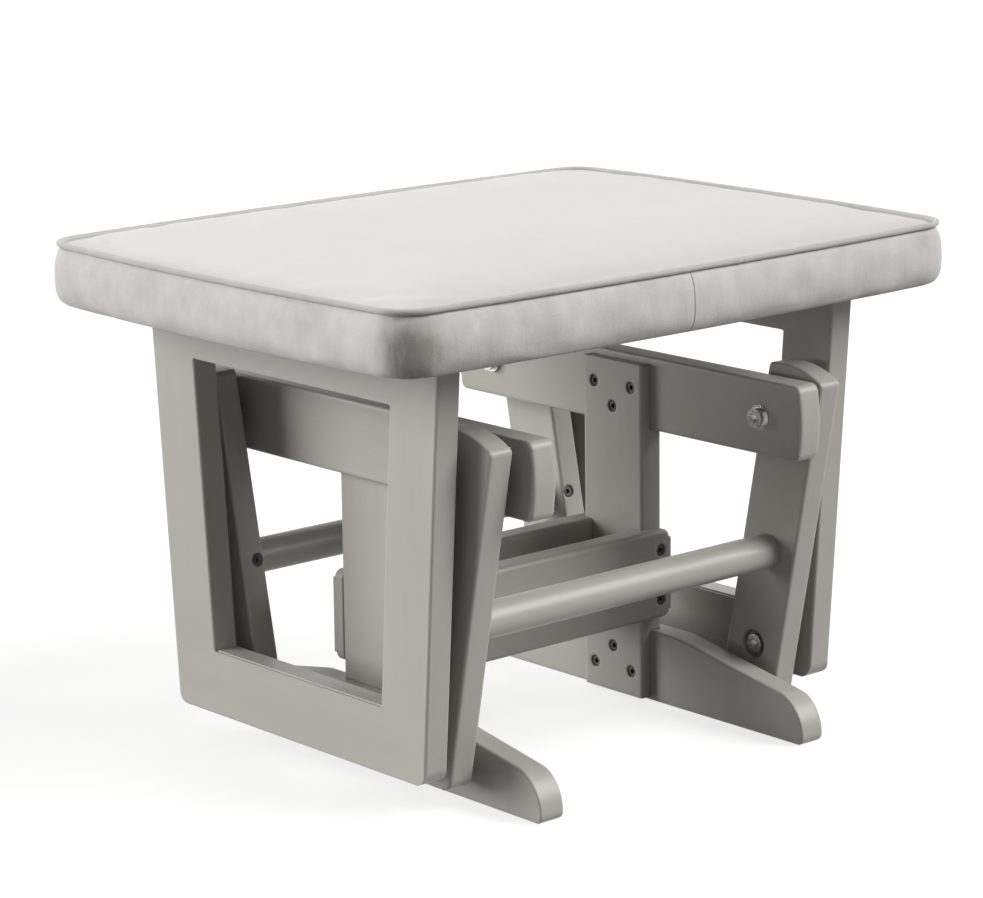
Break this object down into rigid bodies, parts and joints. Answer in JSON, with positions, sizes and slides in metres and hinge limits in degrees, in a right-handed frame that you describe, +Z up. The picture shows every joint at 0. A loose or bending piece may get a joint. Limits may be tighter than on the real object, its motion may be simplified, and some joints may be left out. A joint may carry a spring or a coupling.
{
  "type": "glider ottoman",
  "caption": "Gliding footrest: a piped box cushion on leaning side frames that hang from swinging wooden links on a low wooden base.",
  "frame": {"origin": "on the floor, under the middle of the ottoman", "axes": "+X across the ottoman, along its longer side; -Y towards the front, +Z up"},
  "size_m": [0.535, 0.418, 0.372],
  "materials": {
    "grey_wood": "satin lacquer",
    "plain_wood": "unfinished",
    "dark_steel": "satin black",
    "bright_steel": "bright",
    "nylon": "matte",
    "cloth": "soft brushed pile"
  },
  "bodies": {
    "base": {"left_post": "grey_wood", "right_post": "grey_wood", "left_arm": "grey_wood", "right_arm": "grey_wood", "left_foot": "grey_wood", "right_foot": "grey_wood", "front_rail": "grey_wood", "rear_rail": "grey_wood", "arm_screws": "dark_steel", "foot_screws": "dark_steel", "rail_screws": "dark_steel", "upper_bolts": "bright_steel", "upper_bolt_washers": "bright_steel", "upper_spacers": "nylon", "upper_sleeves": "bright_steel"},
    "front_links": {"left_front_link": "grey_wood", "right_front_link": "grey_wood", "front_dowel": "grey_wood", "front_dowel_screws": "dark_steel", "front_link_bearings": "nylon", "front_link_bushes": "nylon"},
    "rear_links": {"left_rear_link": "grey_wood", "right_rear_link": "grey_wood", "rear_dowel": "grey_wood", "rear_dowel_screws": "dark_steel", "rear_link_bearings": "nylon", "rear_link_bushes": "nylon"},
    "seat": {"left_bottom_rail": "grey_wood", "left_front_stile": "grey_wood", "left_rear_stile": "grey_wood", "left_top_rail": "grey_wood", "right_bottom_rail": "grey_wood", "right_front_stile": "grey_wood", "right_rear_stile": "grey_wood", "right_top_rail": "grey_wood", "left_frame_pins": "plain_wood", "right_frame_pins": "plain_wood", "lower_bolts": "bright_steel", "lower_spacers": "nylon", "lower_inserts": "bright_steel", "seat_board": "plain_wood", "seat_screws": "dark_steel", "cushion": "cloth"}
  },
  "joints": [
    {"name": "front_swing", "type": "hinge", "parent": "base", "child": "front_links", "pos_m": [0, -0.144, 0.2345], "axis": [1, 0, 0], "range_deg": [-10, 10]},
    {"name": "rear_swing", "type": "hinge", "parent": "base", "child": "rear_links", "pos_m": [0, 0.144, 0.2345], "axis": [1, 0, 0], "range_deg": [-10, 10]},
    {"name": "seat_pivot", "type": "hinge", "parent": "front_links", "child": "seat", "pos_m": [0, -0.109, 0.0545], "axis": [1, 0, 0], "range_deg": [-13.2, 13.2]}
  ],
  "couplings": [
    {"joint": "rear_swing", "follows": "front_swing", "ratio": 1},
    {"joint": "seat_pivot", "follows": "front_swing", "ratio": -1.3176}
  ]
}
